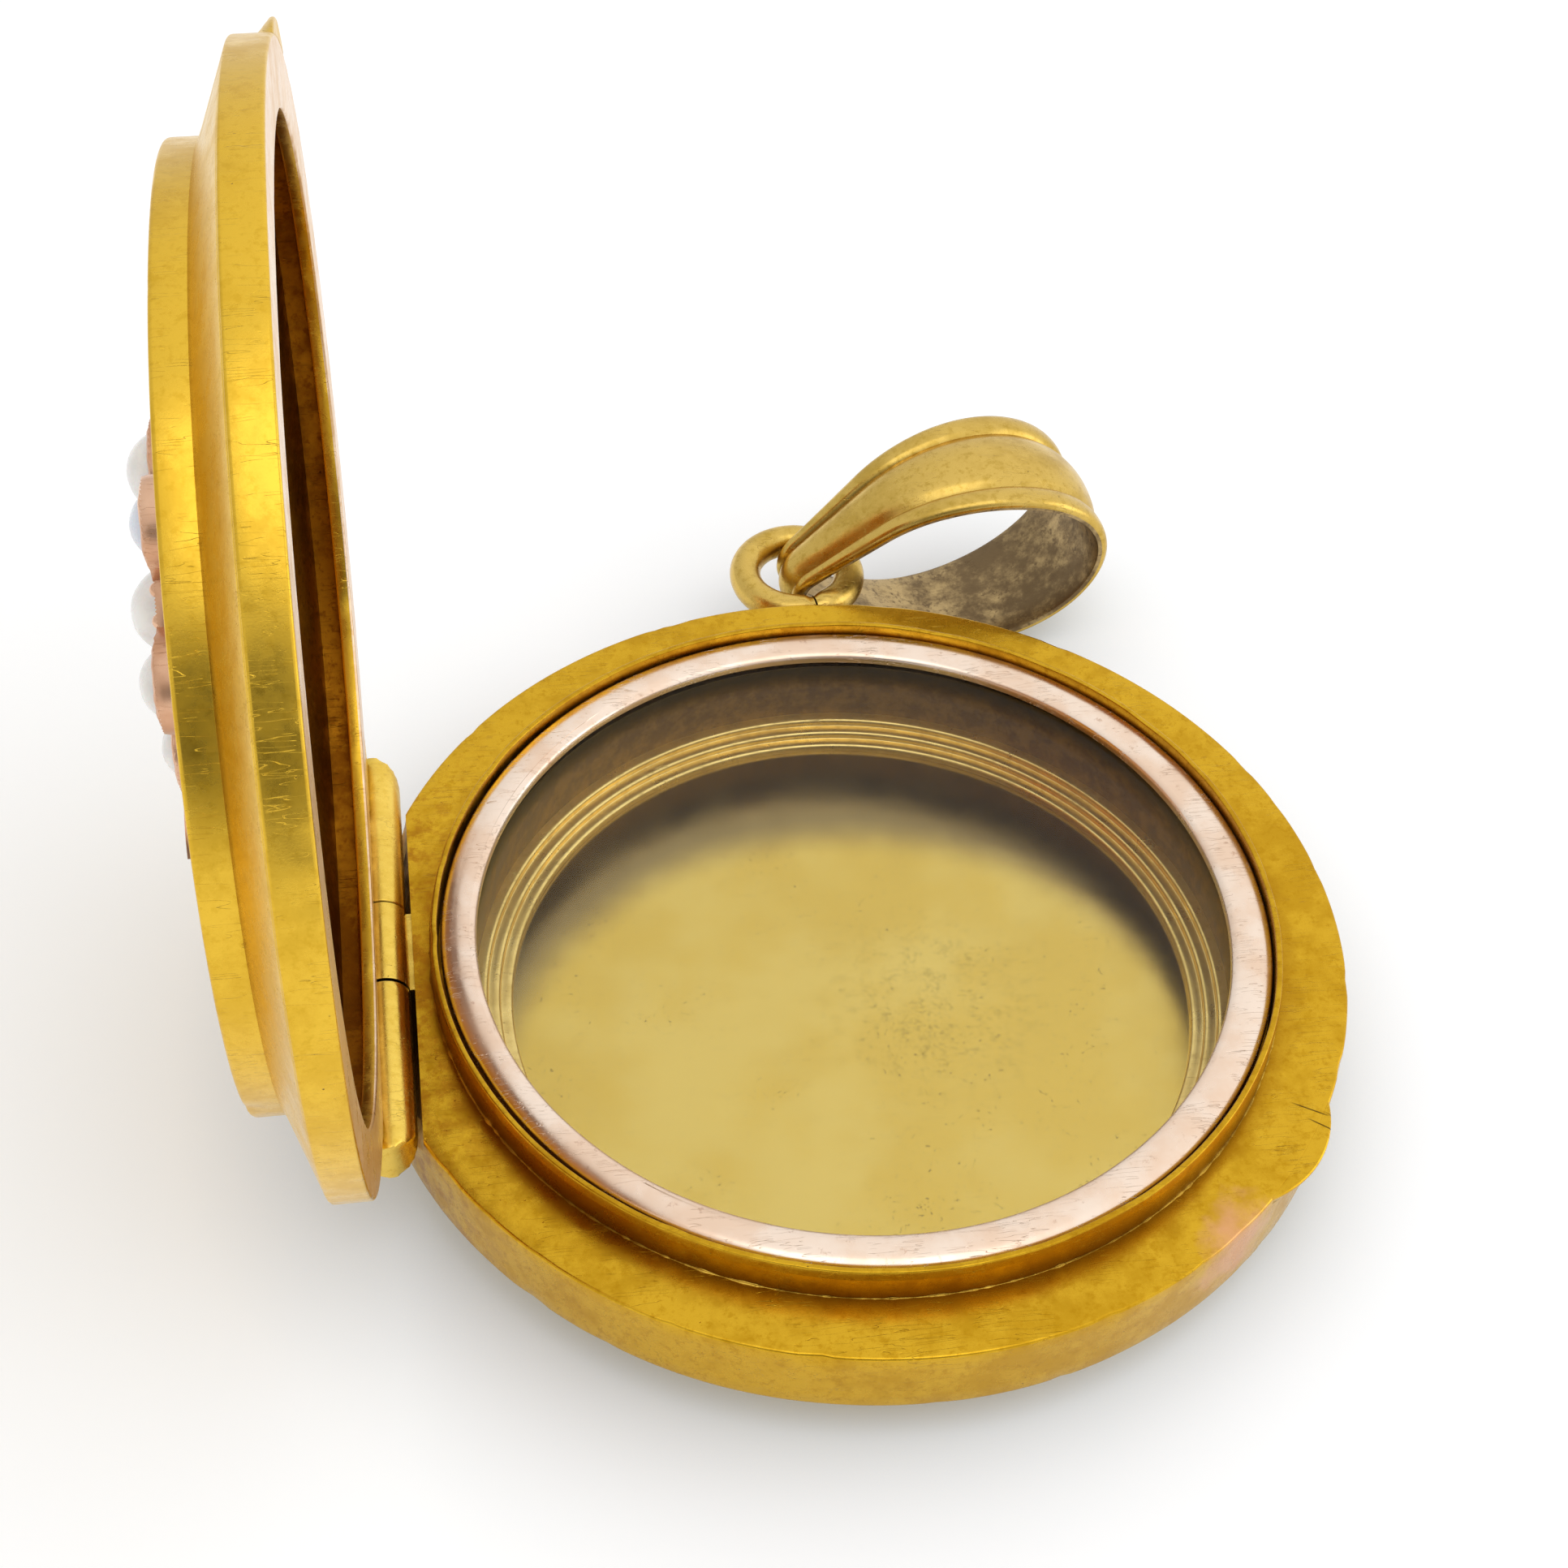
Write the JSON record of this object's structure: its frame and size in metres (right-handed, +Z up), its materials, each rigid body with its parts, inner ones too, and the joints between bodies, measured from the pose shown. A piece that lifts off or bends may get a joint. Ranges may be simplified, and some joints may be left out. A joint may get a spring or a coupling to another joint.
{
  "type": "locket",
  "caption": "Round hinged locket, cover standing open, glazed picture well in the body, pearl flower on the cover and a ribbed bail on a soldered loop.",
  "frame": {"origin": "centre of the flat back face the locket lies on", "axes": "+Z up out of the back through the crystal, hinge line along Y on the -X side, bail loop near +Y"},
  "size_m": [0.0372, 0.0388, 0.0355],
  "materials": {
    "gold_satin": "satin, hand polished",
    "floor_gold": "pale satin",
    "rose_gold": "polished rose gold",
    "half_pearl": "pearl lustre",
    "crystal_glass": "clear",
    "hinge_wire": "drawn wire"
  },
  "bodies": {
    "case_body": {"body_band": "gold_satin", "body_flange": "gold_satin", "body_ledge": "gold_satin", "body_lower_band": "gold_satin", "back_plate": "gold_satin", "hinge_seat": "gold_satin", "body_knuckle": "gold_satin", "body_thumb_lip": "gold_satin", "snap_collar": "gold_satin", "bezel_ring": "rose_gold", "crystal": "crystal_glass", "well_wall": "gold_satin", "picture_rim": "gold_satin", "floor_plate": "floor_gold", "bail_loop": "gold_satin"},
    "cover": {"cover_flange": "gold_satin", "cover_band": "gold_satin", "cover_ledge": "gold_satin", "cover_upper_band": "gold_satin", "cover_face": "gold_satin", "cover_thumb_lip": "gold_satin", "cover_bearer": "gold_satin", "upper_knuckle": "gold_satin", "lower_knuckle": "gold_satin", "hinge_pin": "hinge_wire", "flower_plaque": "rose_gold", "leaf_spray": "rose_gold", "setting_grains": "rose_gold", "centre_pearl": "half_pearl", "petal_pearl_1": "half_pearl", "petal_pearl_2": "half_pearl", "petal_pearl_3": "half_pearl", "petal_pearl_4": "half_pearl", "petal_pearl_5": "half_pearl", "petal_pearl_6": "half_pearl"},
    "bail": {"bail": "gold_satin"}
  },
  "joints": [
    {"name": "cover_hinge", "type": "hinge", "parent": "case_body", "child": "cover", "pos_m": [-0.0154, 0.0008, 0.00415], "axis": [0, 1, 0], "range_deg": [0, 91]},
    {"name": "bail_swing", "type": "hinge", "parent": "case_body", "child": "bail", "pos_m": [0.00058, 0.01832, 0.00365], "axis": [0, 0, 1], "range_deg": [-12, 165]}
  ]
}
